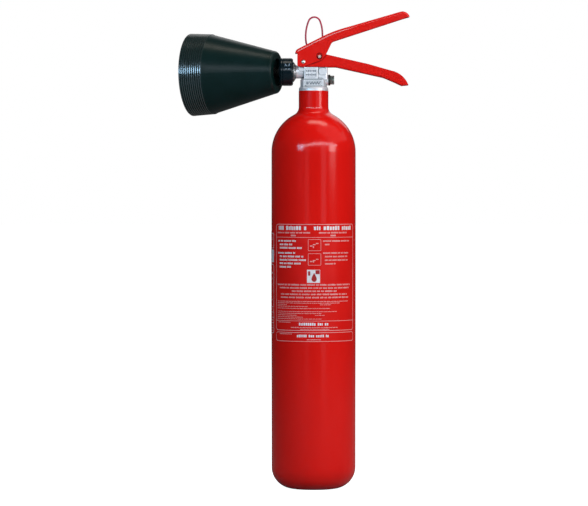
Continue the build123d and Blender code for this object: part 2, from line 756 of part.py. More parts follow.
def safety_pin():
    """Pin with a pointed tip in front, a stop washer behind the lever and an eye."""
    x, z = PIN_HOLE
    tip_y = -LEVER_HALF - 2.6
    stop_y = LEVER_HALF + 0.4
    pin = rod(PIN_R, (x, tip_y + 1.0, z), (0, 1, 0), EYE_Y - tip_y - 1.0)
    pin += cone(PIN_R, PIN_TIP_R, (x, tip_y + 1.0, z), (0, -1, 0), 1.0)
    pin += rod(4.0, (x, stop_y, z), (0, 1, 0), 0.9)
    pin += Pos(x, EYE_Y, z) * Sphere(EYE_R)
    pin -= rod(RING_WIRE_R + 0.3, (x - 5, EYE_Y, z), (1, 0, 0), 10)
    return pin


def tangent_angle(centre, radius, point):
    """The angle on a circle where the line from an outside point touches its lower right side."""
    away = (point[0] - centre[0], point[1] - centre[1])
    spread = math.acos(radius / math.hypot(*away))
    return math.degrees(math.atan2(away[1], away[0]) + spread)


def pull_ring():
    """Wire loop through the pin's eye: round top, long side arcs, straight runs to the eye."""
    top_centre, top_r, open_angle = (1.0, 564.6), 7.4, 22.0
    left_r, right_r = 50.0, 40.0
    left_end_angle = 192.0
    low_fillet, left_fillet = 2.2, 14.0
    eye_left = (2.4, PIN_HOLE[1])
    eye_right = (12.0, PIN_HOLE[1])
    left_centre = on_angle(on_angle(top_centre, top_r, 180 - open_angle), left_r, -open_angle)
    right_centre = on_angle(on_angle(top_centre, top_r, open_angle), right_r, 180 + open_angle)
    right_end = tangent_angle(right_centre, right_r, eye_right)
    left_arc = CenterArc(left_centre, left_r, 180 - open_angle, left_end_angle - 180 + open_angle)
    right_arc = CenterArc(right_centre, right_r, right_end, open_angle - right_end)
    loop = make_face(
        [
            CenterArc(top_centre, top_r, open_angle, 180 - 2 * open_angle),
            left_arc,
            Line(left_arc @ 1, eye_left),
            Line(eye_left, eye_right),
            Line(eye_right, right_arc @ 0),
            right_arc,
        ]
    )
    low_corners = loop.vertices().sort_by(Axis.Y)
    loop = fillet(low_corners[:2], low_fillet)
    left_corner = loop.vertices().sort_by_distance(left_arc @ 1)[:1]
    loop = fillet(left_corner, left_fillet)
    upright = Plane(origin=(0, EYE_Y, 0), x_dir=(1, 0, 0), z_dir=(0, -1, 0))
    wire = (upright * loop).face().outer_wire()
    section = Plane(origin=wire @ 0, z_dir=wire % 0) * Circle(RING_WIRE_R)
    return sweep(section, path=wire)


def neck_seal():
    return ring(THREAD_R + 1.6, 1.1, (0, 0, NECK_TOP - 1.2), (0, 0, 1))


def stem_o_ring():
    return ring(STEM_R + 1.06, 0.95, (0, 0, GLAND_Z + 1.3), (0, 0, 1))


NODES = {
    "cylinder_shell": cylinder_shell(),
    "front_label": film_label(FRONT_LABEL_W, FRONT_LABEL_Z, 0),
    "side_label": film_label(SIDE_LABEL_W, SIDE_LABEL_Z, SIDE_LABEL_TURN),
    "neck_seal": neck_seal(),
    "valve_body": valve_body(),
    "seat_ring": seat_ring(),
    "spring_cap": spring_cap(),
    "dip_tube": dip_tube(),
    "valve_spring": valve_spring(),
    "valve_stem": valve_stem(),
    "stem_seal": stem_seal(),
    "stem_o_ring": stem_o_ring(),
    "gland_nut": gland_nut(BLOCK_TOP + SHEET),
    "burst_disc": burst_disc(),
    "burst_washer": burst_washer(),
    "burst_plug": burst_plug(),
    "outlet_nipple": outlet_nipple(),
    "outlet_seal": outlet_seal(),
    "swivel_collar": swivel_collar(),
    "ball_seat": ball_seat(),
    "swivel_liner": swivel_liner(),
    "swivel_ball": swivel_ball(),
    "horn_shell": horn_shell(),
    "horn_nozzle": horn_nozzle(),
    "carrying_handle": carrying_handle(),
    "squeeze_lever": squeeze_lever(),
    "pivot_rivet": pivot_rivet(),
    "rivet_washer": rivet_washer(),
    "safety_pin": safety_pin(),
    "pull_ring": pull_ring(),
}

os.makedirs("parts", exist_ok=True)
for name, solid in NODES.items():
    export_step(solid, f"parts/{name}.step")
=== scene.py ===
import json
import math
import random

import bmesh
import bpy
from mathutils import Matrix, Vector


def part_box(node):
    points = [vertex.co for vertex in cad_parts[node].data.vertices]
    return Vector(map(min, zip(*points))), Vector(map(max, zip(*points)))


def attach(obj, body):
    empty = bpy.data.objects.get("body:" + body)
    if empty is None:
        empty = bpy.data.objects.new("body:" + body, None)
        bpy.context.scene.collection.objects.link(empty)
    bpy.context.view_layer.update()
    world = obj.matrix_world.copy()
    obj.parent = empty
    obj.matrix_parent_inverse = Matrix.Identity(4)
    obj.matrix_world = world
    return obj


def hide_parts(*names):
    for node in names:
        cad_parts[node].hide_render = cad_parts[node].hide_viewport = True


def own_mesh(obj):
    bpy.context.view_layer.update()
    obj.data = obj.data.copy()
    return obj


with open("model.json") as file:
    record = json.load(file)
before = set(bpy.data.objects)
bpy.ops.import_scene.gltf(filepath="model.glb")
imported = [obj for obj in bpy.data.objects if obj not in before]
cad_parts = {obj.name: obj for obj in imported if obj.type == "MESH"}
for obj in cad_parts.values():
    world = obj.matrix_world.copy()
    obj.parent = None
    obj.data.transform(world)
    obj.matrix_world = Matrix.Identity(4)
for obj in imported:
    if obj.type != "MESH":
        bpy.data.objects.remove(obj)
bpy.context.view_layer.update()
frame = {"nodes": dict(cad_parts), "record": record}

# Carbon dioxide fire extinguisher: looks built around the CAD frame.
# The origin is the centre of the foot, +Z is up, +X points to the handle, -Y to the camera.
# Lengths are in metres, except where a comment says mm; MM turns mm into metres.

MM = 0.001
RNG = random.Random(7)

# The cylinder's wall, the labels' film on it, the print on the film, and print over print.
wall_low, wall_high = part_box("cylinder_shell")
WALL_R = (wall_high.x - wall_low.x) / 2
FILM_FOOT_R = WALL_R - 0.05 * MM
FILM_R = WALL_R + 0.15 * MM
PRINT_R = FILM_R + 0.06 * MM
OVERPRINT_R = PRINT_R + 0.04 * MM

# In mm: the faces of the valve, lever, neck and collar that carry small details.
VALVE_FACE = 10.4
PLATE_RISE = 0.7
LEVER_SIDE = 13.4
NECK_R = 18.0
COLLAR_R = 16.8
OUTLET_Z = 504.8

# The horn's axis leaves the ball's centre to the left and back, a little downwards.
BALL = Vector((-35.0, 0.0, OUTLET_Z)) * MM
HORN_TURN = math.radians(18.0)
HORN_DROP = math.radians(1.2)
HORN_AXIS = Vector(
    (
        -math.cos(HORN_TURN) * math.cos(HORN_DROP),
        math.sin(HORN_TURN) * math.cos(HORN_DROP),
        -math.sin(HORN_DROP),
    )
)
RIBS_FROM_BALL = 90.4 * MM
RIBS_START = RIBS_FROM_BALL + BALL.dot(HORN_AXIS)
RIB_PITCH = 2.6 * MM
RIB_TOP = 0.575  # where a rib's crest lies within its pitch

# In degrees: the widest step between a printed bar's columns, and the angles round a corner.
BAR_STEP = 2.0
CORNER_TURNS = range(0, 91, 15)

# Print that stands for lettering: the fewest and most marks in a word and, as parts of the
# print's size, the step from mark to mark and how far marks reach above and below their middle.
WORD_LENGTHS = (3, 9)
MARK_STEP = 0.78
MARK_RISES = (0.5, 0.38, 0.38, 0.5)
MARK_DROP = 0.5
# As parts of that step: a mark's width, the gaps, and the least room that takes another mark.
MARK_WIDTHS = (0.45, 0.7, 0.7, 0.8)
MARK_GAP = 0.24
WORD_GAP = 0.8
MARK_ROOM = 0.75

# In mm: the corner radius of both labels' films.
FILM_CORNER = 4.0

# Front label, in mm: distances right of the middle when seen square on, and heights.
FRONT_SHEET = (-46.5, 48.4)
FRONT_HEIGHTS = (178.9, 323.0)
PANEL = (-44.8, 47.1)
PRINT_LEFT = -43.0
LEFT_STEP = -42.6
LEFT_STEP_REST = -40.6
RIGHT_STEP = 11.1
RIGHT_STEP_REST = 13.4
FIRST_STEP_Z = 301.1
SECOND_STEP_Z = 286.7
FINE_PRINT = 0.8

# Side label: its middle's wall angle, then in mm: half its width when seen square on, heights,
# and the panel's ends along the sheet from its middle.
SIDE_MIDDLE = math.radians(-112.0)
SIDE_HALF_WIDTH = 35.4
SIDE_HEIGHTS = (187.0, 312.0)
SIDE_PANEL = (-37.0, 37.6)
TABLE_FOOT = 189.0
TABLE_TOP = 221.0
TABLE_PITCH = 6.4

# Camera: four metres away, with a long lens. The dip is in degrees, lens and sensor in mm.
CAMERA_PLACE = (-0.0237, -4.0, 0.383)
CAMERA_DIP = 1.396
LENS = 202.0
SENSOR = 36.0
FAR_LIMIT = 50.0

# Where most lamps aim, and their colours.
MIDDLE = (0, 0, 0.42)
WHITE = (1.0, 1.0, 1.0)
WARM = (1.0, 0.92, 0.80)
COOL = (0.80, 0.90, 1.0)
BLUE = (0.42, 0.72, 1.0)

# Each lamp: name, place, aim, width and height, watts, colour.
LAMPS = (
    ("key", (1.27, -0.97, 0.65), (0, 0, 0.65), (0.5, 0.40), 4.9, WHITE),
    ("side", (1.50, -0.20, 2.20), MIDDLE, (3.0, 2.6), 12, WHITE),
    ("windows", (0.60, -1.9, 1.20), MIDDLE, (5.0, 0.28), 35, COOL),
    ("pane", (-1.05, -1.45, 0.82), (-0.10, 0.0, 0.50), (0.5, 0.34), 7.0, BLUE),
    ("left_band", (-0.65, -2.0, 0.55), (0, 0, 0.55), (0.4, 1.0), 0.45, COOL),
    ("right_band", (0.95, -1.87, 0.55), (0, 0, 0.55), (0.5, 1.0), 1.2, COOL),
    ("ceiling", (0.36, -0.05, 2.6), (0.36, 0, 0.42), (1.5, 0.45), 11, WARM),
    ("back", (0.4, 2.0, 1.6), MIDDLE, (1.6, 1.2), 6, WHITE),
)

# Where most values of a noise lie.
NOISE_RANGE = (0.3, 0.7)

# The finishes: one for each slot of the record, and those of the print and marks added here.
# What each value means is in surface().
FINISHES = {
    "red_paint": dict(
        tones=((0.86, 0.007, 0.004), (0.92, 0.010, 0.006)),
        roughness=(0.13, 0.18),
        specular=0.42,
        tone_scale=25.0,
        stretch=(1, 1, 0.25),
        grain=((420.0, 0.012 * MM), (60.0, 0.03 * MM)),
    ),
    "red_enamel": dict(
        tones=((0.91, 0.008, 0.004), (0.96, 0.010, 0.005)),
        roughness=(0.20, 0.27),
        specular=0.36,
        tone_scale=45.0,
        grain=((700.0, 0.002 * MM), (150.0, 0.008 * MM)),
        # darker red along sharp edges, nearly unbroken: painted shade along the edges
        edge_wear_and_shade=((0.46, 0.010, 0.008), 0.5 * MM, (0.05, 0.3)),
        # painted shade: darker red in corners and along the lever's contact line with the handle
        corner_shade=((0.24, 0.005, 0.004), 2.5 * MM, (0.4, 0.9)),
    ),
    "label_film": dict(
        tones=((0.84, 0.009, 0.006), (0.90, 0.012, 0.008)),
        roughness=(0.20, 0.26),
        specular=0.32,
        tone_scale=25.0,
        grain=((700.0, 0.005 * MM),),
    ),
    "label_ink": dict(
        tones=((0.90, 0.80, 0.79), (0.98, 0.92, 0.91)),
        roughness=(0.30, 0.40),
        tone_scale=300.0,
        grain=((1500.0, 0.003 * MM),),
    ),
    "label_soft_ink": dict(
        tones=((0.88, 0.36, 0.34), (0.94, 0.50, 0.48)),
        roughness=(0.30, 0.40),
        tone_scale=300.0,
        grain=((1500.0, 0.003 * MM),),
    ),
    # a light pink-red that is a painted highlight: the glint along the lever's bend and on the neck's
    # marks
    "highlight_enamel": dict(
        tones=((0.96, 0.30, 0.28), (0.99, 0.42, 0.40)),
        roughness=(0.16, 0.24),
        tone_scale=120.0,
        grain=((900.0, 0.01 * MM),),
    ),
    # grey-blue, far lighter than the black collar: a painted highlight on its marks
    "collar_mark_highlight": dict(
        tones=((0.20, 0.28, 0.36), (0.30, 0.38, 0.46)),
        roughness=(0.25, 0.35),
        tone_scale=300.0,
        grain=((1500.0, 0.005 * MM),),
    ),
    "label_dark_ink": dict(
        tones=((0.42, 0.012, 0.010), (0.52, 0.02, 0.016)),
        roughness=(0.35, 0.45),
        tone_scale=300.0,
        grain=((1500.0, 0.005 * MM),),
    ),
    "black_rubber": dict(
        tones=((0.015, 0.015, 0.016), (0.03, 0.03, 0.03)),
        roughness=(0.55, 0.75),
        grain=((2500.0, 0.03 * MM),),
    ),
    "plated_brass": dict(
        tones=((0.93, 0.92, 0.93), (1.0, 0.97, 0.98)),
        roughness=(0.32, 0.42),
        metallic=0.45,
        tone_scale=180.0,
        grain=((1300.0, 0.006 * MM), (260.0, 0.010 * MM)),
        edge_wear_and_shade=((0.98, 0.97, 0.97), 0.3 * MM, (0.35, 0.5)),
        # painted shade: dark grey-green in the valve's corners and round its raised parts
        corner_shade=((0.03, 0.06, 0.06), 2.4 * MM, (0.44, 0.84)),
    ),
    # dark grey: painted shade that makes the forged marks stand out on the light valve
    "cast_marks_shade": dict(
        tones=((0.24, 0.26, 0.29), (0.36, 0.38, 0.40)),
        roughness=(0.34, 0.44),
        metallic=0.5,
        tone_scale=300.0,
        grain=((1300.0, 0.006 * MM),),
    ),
    "plain_brass": dict(
        tones=((0.62, 0.42, 0.16), (0.74, 0.54, 0.24)),
        roughness=(0.22, 0.36),
        metallic=1.0,
        stretch=(1, 1, 6),
        grain=((900.0, 0.02 * MM),),
    ),
    # near black: the swivel ball, darkened as painted shade so it shows no glint in the horn's recess
    "black_brass": dict(
        tones=((0.012, 0.012, 0.012), (0.03, 0.028, 0.025)),
        roughness=(0.4, 0.55),
        metallic=0.5,
        grain=((900.0, 0.02 * MM),),
    ),
    "seat_plastic": dict(
        tones=((0.78, 0.77, 0.72), (0.86, 0.86, 0.82)),
        roughness=(0.4, 0.55),
        grain=((1600.0, 0.01 * MM),),
    ),
    "liner_plastic": dict(
        tones=((0.012, 0.014, 0.014), (0.024, 0.026, 0.026)),
        roughness=(0.4, 0.5),
        grain=((1600.0, 0.01 * MM),),
    ),
    "tube_aluminium": dict(
        tones=((0.66, 0.67, 0.68), (0.78, 0.78, 0.79)),
        roughness=(0.28, 0.42),
        metallic=1.0,
        stretch=(1, 1, 0.05),
        grain=((1400.0, 0.02 * MM),),
    ),
    "spring_steel": dict(
        tones=((0.40, 0.40, 0.41), (0.56, 0.56, 0.56)),
        roughness=(0.25, 0.4),
        metallic=1.0,
        grain=((1800.0, 0.01 * MM),),
    ),
    "stem_steel": dict(
        tones=((0.92, 0.88, 0.76), (0.98, 0.94, 0.84)),
        roughness=(0.20, 0.30),
        metallic=0.4,
        tone_scale=300.0,
        grain=((2200.0, 0.01 * MM),),
    ),
    "rivet_steel": dict(
        tones=((0.90, 0.86, 0.74), (0.97, 0.93, 0.82)),
        roughness=(0.22, 0.38),
        metallic=1.0,
        tone_scale=300.0,
        grain=((1500.0, 0.01 * MM),),
        # painted shade: darker round the rivet heads and the pin
        corner_shade=((0.05, 0.03, 0.025), 2.2 * MM, (0.35, 0.85)),
    ),
    "dark_washer": dict(
        tones=((0.03, 0.035, 0.03), (0.07, 0.075, 0.065)),
        roughness=(0.4, 0.6),
        metallic=0.6,
        grain=((1500.0, 0.02 * MM),),
    ),
    "plug_metal": dict(
        tones=((0.20, 0.25, 0.22), (0.32, 0.38, 0.34)),
        roughness=(0.26, 0.40),
        metallic=0.6,
        tone_scale=250.0,
        grain=((1500.0, 0.01 * MM),),
        # painted shade in the plug's corners
        corner_shade=((0.02, 0.02, 0.018), 2.0 * MM, (0.35, 0.85)),
    ),
    "nipple_brass": dict(
        tones=((0.70, 0.66, 0.62), (0.86, 0.82, 0.80)),
        roughness=(0.24, 0.38),
        metallic=1.0,
        tone_scale=250.0,
        grain=((1500.0, 0.01 * MM),),
        # painted shade: dark green on the nipple's underside and in its corners
        corner_shade=((0.04, 0.06, 0.05), 3.0 * MM, (0.55, 0.97)),
    ),
    "collar_plastic": dict(
        tones=((0.002, 0.009, 0.013), (0.004, 0.012, 0.016)),
        roughness=(0.20, 0.28),
        specular=0.35,
        grain=((1100.0, 0.008 * MM),),
    ),
    "horn_plastic": dict(
        tones=((0.003, 0.015, 0.013), (0.005, 0.019, 0.018)),
        roughness=(0.28, 0.36),
        specular=0.058,
        ior=2.0,
        polish=(HORN_AXIS, RIBS_START, RIB_PITCH, RIB_TOP, 0.75, 1.0),
        tone_scale=40.0,
        grain=((1400.0, 0.012 * MM), (90.0, 0.03 * MM)),
    ),
    "ring_coating": dict(
        tones=((0.50, 0.02, 0.06), (0.60, 0.03, 0.085)),
        roughness=(0.28, 0.4),
        tone_scale=200.0,
        grain=((900.0, 0.01 * MM),),
    ),
}


# ---------------------------------------------------------------- nodes


def set_inputs(tree, node, inputs):
    """Gives sockets, by name or number, a constant or another node's output."""
    for socket, value in inputs.items():
        if isinstance(value, bpy.types.NodeSocket):
            tree.links.new(value, node.inputs[socket])
        else:
            node.inputs[socket].default_value = value


def add_node(tree, kind, inputs):
    """A new node with its inputs set."""
    node = tree.nodes.new(kind)
    set_inputs(tree, node, inputs)
    return node


def object_coordinates(tree):
    """The shaded point in the object's own coordinates."""
    return tree.nodes.new("ShaderNodeTexCoord").outputs["Object"]


def calculate(tree, operation, *values):
    """The result of a calculation on constants or outputs."""
    node = add_node(tree, "ShaderNodeMath", dict(enumerate(values)))
    node.operation = operation
    return node.outputs["Value"]


def dot_product(tree, first, second):
    """The dot product of two vectors."""
    node = add_node(tree, "ShaderNodeVectorMath", {0: first, 1: second})
    node.operation = "DOT_PRODUCT"
    return node.outputs["Value"]


def noise(tree, scale, stretch=(1, 1, 1), detail=3.0):
    """A noise value from 0 to 1; scale is in features per metre."""
    point = add_node(tree, "ShaderNodeMapping", {"Vector": object_coordinates(tree), "Scale": stretch})
    inputs = {"Vector": point.outputs["Vector"], "Scale": scale, "Detail": detail}
    return add_node(tree, "ShaderNodeTexNoise", inputs).outputs["Fac"]


def remap(tree, value, low, high, to_low=0.0, to_high=1.0):
    """Maps a value's range onto another range, clamped."""
    inputs = {"Value": value, "From Min": low, "From Max": high, "To Min": to_low, "To Max": to_high}
    return add_node(tree, "ShaderNodeMapRange", inputs).outputs["Result"]


def mix_colour(tree, factor, first, second):
    """Mixes two colours; each is a constant or another node's output."""
    node = tree.nodes.new("ShaderNodeMix")
    node.data_type = "RGBA"
    colours = [(*colour, 1.0) if isinstance(colour, tuple) else colour for colour in (first, second)]
    set_inputs(tree, node, {0: factor, 6: colours[0], 7: colours[1]})
    return node.outputs[2]


def edge_mask(tree, radius):
    """1 along sharp edges and 0 on flat faces, from how far a rounded normal leans away."""
    rounded = add_node(tree, "ShaderNodeBevel", {"Radius": radius}).outputs["Normal"]
    real = tree.nodes.new("ShaderNodeNewGeometry").outputs["Normal"]
    flat = 0.995
    sharp = 0.93
    return remap(tree, dot_product(tree, rounded, real), flat, sharp)


def wave(tree, distance, pitch, crest):
    """1 on the crests of a wave and 0 in its hollows; crest is where one peaks, in pitches."""
    way = calculate(tree, "MULTIPLY_ADD", distance, 2 * math.pi / pitch, -2 * math.pi * crest)
    # These values of the cosine make a crest narrower than a hollow.
    hollow = 0.1
    full_crest = 0.9
    return remap(tree, calculate(tree, "COSINE", way), hollow, full_crest)


def wear_and_shade_edges(tree, colour, edge_colour, radius, shows):
    """Puts the edge colour on sharp edges, in patches: a lighter colour stands for wear, a darker one
    is painted shade along the edges; shows is the noise range of a patch.
    """
    patch_scale = 260.0
    patches = remap(tree, noise(tree, patch_scale, detail=6.0), *shows)
    mask = calculate(tree, "MULTIPLY", edge_mask(tree, radius), patches)
    return mix_colour(tree, mask, colour, edge_colour)


def shade_corners(tree, colour, shade_colour, reach, openness):
    """Paints shade into corners and crevices, found by ambient occlusion; openness is the range from
    fully shaded to unshaded.
    """
    occlusion = add_node(tree, "ShaderNodeAmbientOcclusion", {"Distance": reach})
    occlusion.samples = 8
    unshaded = remap(tree, occlusion.outputs["AO"], *openness)
    return mix_colour(tree, unshaded, shade_colour, colour)


def polish_ribs(tree, rough, specular, axis, start, pitch, crest, smoothing, shine):
    """Roughness and specular of ribs with glossy crests, beyond a distance along an axis."""
    fade = 0.3 * MM
    distance = dot_product(tree, object_coordinates(tree), axis)
    beyond = remap(tree, distance, start, start + fade)
    crests = wave(tree, distance, pitch, start / pitch + crest)
    zone = calculate(tree, "MULTIPLY", beyond, crests)
    rough = calculate(tree, "MULTIPLY", rough, remap(tree, zone, 0.0, 1.0, 1.0, smoothing))
    return rough, remap(tree, zone, 0.0, 1.0, specular, shine)


def relief(tree, grain, stretch):
    """The normal of fine bumps, laid one over another."""
    normal = None
    for scale, depth in grain:
        height = noise(tree, scale, stretch, detail=4.0)
        bump = add_node(tree, "ShaderNodeBump", {"Strength": 1.0, "Distance": depth, "Height": height})
        if normal:
            tree.links.new(normal, bump.inputs["Normal"])
        normal = bump.outputs["Normal"]
    return normal


# ---------------------------------------------------------------- materials


def surface(
    name,
    tones,
    roughness,
    grain,
    metallic=0.0,
    specular=0.5,
    ior=1.45,
    tone_scale=60.0,
    stretch=(1, 1, 1),
    edge_wear_and_shade=None,
    corner_shade=None,
    polish=None,
):
    """A finished surface: drifting tone, uneven gloss, fine relief, edges with wear and painted shade,
    and painted shade in corners.

    tones and roughness are (low, high) pairs, and grain is (features per metre, depth) pairs.
    tone_scale is in features per metre, and stretch scales all noise along each axis.
    edge_wear_and_shade is (colour, edge radius, noise range where it shows), corner_shade is
    (colour, reach, openness range), and polish is (axis, start, pitch, crest, roughness factor,
    specular).
    """
    material = bpy.data.materials.new(name)
    material.use_nodes = True
    tree = material.node_tree

    drift = remap(tree, noise(tree, tone_scale, stretch), *NOISE_RANGE)
    colour = mix_colour(tree, drift, *tones)
    # Edges: wear where the colour is lighter, painted shade where it is darker.
    if edge_wear_and_shade:
        colour = wear_and_shade_edges(tree, colour, *edge_wear_and_shade)
    # Painted shade: the colour darkens where ambient occlusion finds corners.
    if corner_shade:
        colour = shade_corners(tree, colour, *corner_shade)

    gloss_scale = tone_scale * 2.3
    gloss = noise(tree, gloss_scale, stretch, detail=5.0)
    rough = remap(tree, gloss, *NOISE_RANGE, *roughness)
    if polish:
        rough, specular = polish_ribs(tree, rough, specular, *polish)

    inputs = {
        "Base Color": colour,
        "Roughness": rough,
        "Metallic": metallic,
        "IOR": ior,
        "Specular IOR Level": specular,
        "Normal": relief(tree, grain, stretch),
    }
    set_inputs(tree, tree.nodes["Principled BSDF"], inputs)
    return material


def dress_nodes(materials):
    """Gives every CAD node the material of its slot in the record."""
    for part in frame["record"]["subparts"]:
        mesh = frame["nodes"][part["node"]].data
        mesh.materials.clear()
        mesh.materials.append(materials[part["material_slot"]])


# ---------------------------------------------------------------- meshes


def add_piece(name, body, material, build):
    """Makes an object from a function that fills a bmesh, and rides it on a body."""
    bm = bmesh.new()
    build(bm)
    bmesh.ops.recalc_face_normals(bm, faces=bm.faces)
    mesh = bpy.data.meshes.new(name)
    bm.to_mesh(mesh)
    bm.free()
    mesh.materials.append(material)
    piece = bpy.data.objects.new(name, mesh)
    bpy.context.collection.objects.link(piece)
    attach(piece, body)
    return piece


def join_loops(bm, loops):
    """Faces between each loop of vertices and the next."""
    count = len(loops[0])
    for first, second in zip(loops, loops[1:]):
        for i in range(count):
            j = (i + 1) % count
            bm.faces.new((first[i], first[j], second[j], second[i]))


def closed_skin(bm, loops):
    """Faces between the loops, with the first and last loops filled."""
    join_loops(bm, loops)
    bm.faces.new(loops[0])
    bm.faces.new(loops[-1])


def on_wall(angle, height, radius):
    """A point on a cylinder about Z; angle 0 faces the front and grows to the right."""
    return Vector((radius * math.sin(angle), -radius * math.cos(angle), height))


def wall_angle(x):
    """The angle of the wall point that lies x metres to the right when seen square on."""
    return math.asin(x / WALL_R)


def seen(left, right):
    """A pair of wall angles from two distances, in mm, to the right of the middle seen square on."""
    return wall_angle(left * MM), wall_angle(right * MM)


def strip(bm, columns, low_r, high_r):
    """A closed curved sheet on the wall from (angle, low height, high height) columns."""
    loops = []
    for angle, low, high in columns:
        corners = ((low, low_r), (high, low_r), (high, high_r), (low, high_r))
        loops.append([bm.verts.new(on_wall(angle, height, radius)) for height, radius in corners])
    closed_skin(bm, loops)


def bar(bm, angles, heights, low_r=FILM_R, high_r=PRINT_R):
    """A printed bar between two angles and two heights."""
    start, end = angles
    count = max(1, math.ceil((end - start) / math.radians(BAR_STEP)))
    columns = [(start + (end - start) * i / count, *heights) for i in range(count + 1)]
    strip(bm, columns, low_r, high_r)


def rounded_columns(angles, heights, corner, middle_count=40):
    """Columns of a sheet whose corners are rounded."""
    turn = corner / WALL_R
    steps = [turn * (1 - math.cos(math.radians(a))) for a in CORNER_TURNS]
    inner = [angles[0] + step for step in steps]
    outer = [angles[1] - step for step in reversed(steps)]
    first, last = inner[-1], outer[0]
    middle = [first + (last - first) * i / middle_count for i in range(1, middle_count)]
    columns = []
    for angle in inner + middle + outer:
        near = max(0.0, 1 - min(angle - angles[0], angles[1] - angle) / turn)
        cut = corner * (1 - math.sqrt(max(0.0, 1 - near * near)))
        columns.append((angle, heights[0] + cut, heights[1] - cut))
    return columns


def rounded_path(angles, heights, corner, edge_count=30):
    """Points (angle, height) round a rectangle with rounded corners.

    The top and bottom edges are divided to follow the wall. The number of points is always the
    same, so that two paths can be joined.
    """
    turn = corner / WALL_R
    left, right = angles[0] + turn, angles[1] - turn
    low, high = heights[0] + corner, heights[1] - corner
    corners = ((right, high, 0), (left, high, 90), (left, low, 180), (right, low, 270))
    points = []
    for angle, height, start in corners:
        for a in CORNER_TURNS:
            way = math.radians(start + a)
            points.append((angle + turn * math.cos(way), height + corner * math.sin(way)))
        if start == 0:
            edge = (right, left, high + corner)
        elif start == 180:
            edge = (left, right, low - corner)
        else:
            continue
        for i in range(1, edge_count):
            points.append((edge[0] + (edge[1] - edge[0]) * i / edge_count, edge[2]))
    return points


def outline(bm, angles, heights, corner, line):
    """A printed line round a rectangle with rounded corners."""
    turn = line / WALL_R
    outer = rounded_path(angles, heights, corner)
    inner_angles = (angles[0] + turn, angles[1] - turn)
    inner_heights = (heights[0] + line, heights[1] - line)
    inner = rounded_path(inner_angles, inner_heights, max(corner - line, 0.05 * MM))
    loops = []
    for path, radius in ((outer, FILM_R), (outer, PRINT_R), (inner, PRINT_R), (inner, FILM_R)):
        loops.append([bm.verts.new(on_wall(angle, height, radius)) for angle, height in path])
    join_loops(bm, loops + loops[:1])


def mark_row(bm, angles, height, size):
    """A row of small blocks in groups, which stands for a line of print without any lettering."""
    step = size * MARK_STEP / WALL_R
    angle = angles[0]
    left_in_word = RNG.randint(*WORD_LENGTHS)
    while angle + step * MARK_ROOM <= angles[1]:
        if left_in_word == 0:
            left_in_word = RNG.randint(*WORD_LENGTHS)
            angle += step * WORD_GAP
            continue
        width = step * RNG.choice(MARK_WIDTHS)
        rise = size * RNG.choice(MARK_RISES)
        bar(bm, (angle, angle + width), (height - size * MARK_DROP, height + rise))
        angle += width + step * MARK_GAP
        left_in_word -= 1


def print_rows(bm, rows):
    """Rows of print on the front, each (height, size, left, right) in mm."""
    for height, size, left, right in rows:
        mark_row(bm, seen(left, right), height * MM, size * MM)


def print_block(bm, top, pitch, size, spans):
    """Rows of print, in mm, one below another, each between its own left and right end."""
    print_rows(bm, [(top - row * pitch, size, *span) for row, span in enumerate(spans)])


def paragraph(first_left, rest_left, rights):
    """The (left, right) spans of rows from their right ends; the first row starts elsewhere."""
    return [(first_left, rights[0])] + [(rest_left, right) for right in rights[1:]]


def raised(bm, footprint, place, height):
    """A raised mark: a flat footprint, in mm, pushed out by a height with sloping sides.

    place turns (across, up, out) in mm into a point.
    """
    middle_x = sum(x for x, y in footprint) / len(footprint)
    middle_y = sum(y for x, y in footprint) / len(footprint)
    loops = []
    # From just under the face to the top, which is smaller.
    for shrink, out in ((1.0, -0.1), (0.92, height * 0.6), (0.7, height)):
        loop = []
        for x, y in footprint:
            across = middle_x + (x - middle_x) * shrink
            up = middle_y + (y - middle_y) * shrink
            loop.append(bm.verts.new(place(across, up, out)))
        loops.append(loop)
    closed_skin(bm, loops)


def leaning_bar(x, y, width, height, lean=0.0):
    """The footprint of a bar round a middle point, its top moved sideways by lean."""
    half_w, half_h = width / 2, height / 2
    return [
        (x - half_w - lean / 2, y - half_h),
        (x + half_w - lean / 2, y - half_h),
        (x + half_w + lean / 2, y + half_h),
        (x - half_w + lean / 2, y + half_h),
    ]


def disc(x, y, radius, count=14):
    """The footprint of a round dot."""
    turns = [2 * math.pi * i / count for i in range(count)]
    return [(x + radius * math.cos(turn), y + radius * math.sin(turn)) for turn in turns]


# ---------------------------------------------------------------- small details


def on_valve(side, face):
    """Turns (across, up, out) in mm into a point on the valve's front, side -1, or back, side 1."""

    def place(across, up, out):
        return Vector((across, side * (face + out), up)) * MM

    return place


def valve_marks(materials):
    """Forged marks on both faces of the valve: two rows on the plate, a dot and zigzag below, in a dark
    grey that is painted shade round their relief.
    """
    upper_row = 505.8
    lower_row = 501.2
    zigzag_row = 491.2
    plate_depth = 0.45
    frame_depth = 0.55

    def build(bm):
        for side in (-1, 1):
            on_plate = on_valve(side, VALVE_FACE + PLATE_RISE)
            in_frame = on_valve(side, VALVE_FACE)
            for index, x in enumerate((-8.4, -6.3, -4.2, -2.1, 0.0, 1.9)):
                tall = 2.6 if index % 3 else 1.6
                raised(bm, leaning_bar(x, upper_row, 1.1, tall), on_plate, plate_depth)
                if index % 2 == 0:
                    raised(bm, disc(x, lower_row, 0.95), on_plate, plate_depth)
                else:
                    raised(bm, leaning_bar(x, lower_row, 1.0, 2.6), on_plate, plate_depth)
            raised(bm, disc(-7.2, zigzag_row, 1.5), in_frame, frame_depth)
            for index in range(8):
                lean = 1.5 if index % 2 else -1.5
                stroke = leaning_bar(-4.2 + index * 1.6, zigzag_row, 0.8, 3.2, lean)
                raised(bm, stroke, in_frame, frame_depth)

    add_piece("valve_marks", "body", materials["cast_marks_shade"], build)


